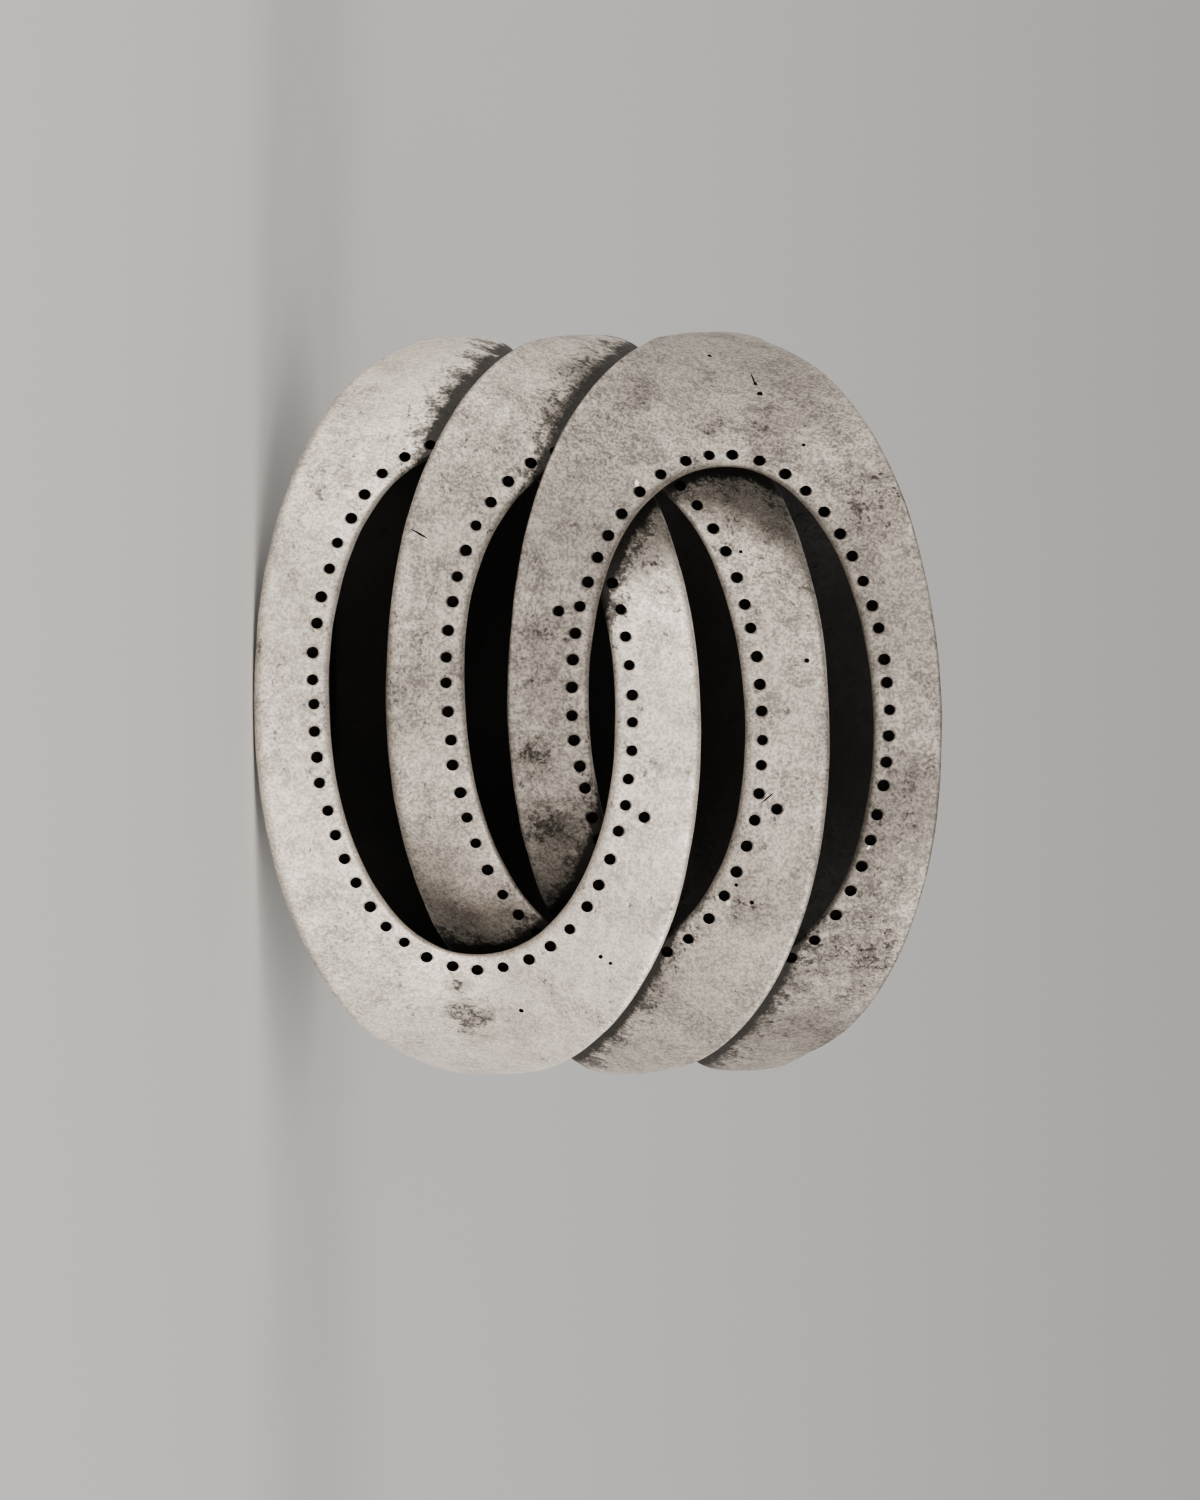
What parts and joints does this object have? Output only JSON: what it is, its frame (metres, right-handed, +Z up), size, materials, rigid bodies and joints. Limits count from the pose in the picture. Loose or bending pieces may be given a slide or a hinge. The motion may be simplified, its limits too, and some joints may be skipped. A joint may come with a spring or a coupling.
{
  "type": "interlocking ring",
  "caption": "Finger ring of interlocked silver hoops with open oval eyes edged by drilled dots, lying on its side.",
  "frame": {"origin": "centre of the bottom of the bounding box, on the surface that the ring rests on", "axes": "+Z up. The ring lies on its left side, and the finger's axis leans 5 degrees from +Z towards +Y. The open eyes face -Y. -X is the top of the ring as worn and pictured, and +Z is its right"},
  "size_m": [0.0217, 0.0234, 0.0195],
  "materials": {
    "left_silver": "matte aged silver, blackened in the recesses",
    "middle_silver": "matte aged silver, blackened in the recesses",
    "right_silver": "matte aged silver, blackened in the recesses"
  },
  "bodies": {
    "root": {"left_hoop": "left_silver", "middle_hoop": "middle_silver", "right_hoop": "right_silver"}
  },
  "joints": []
}
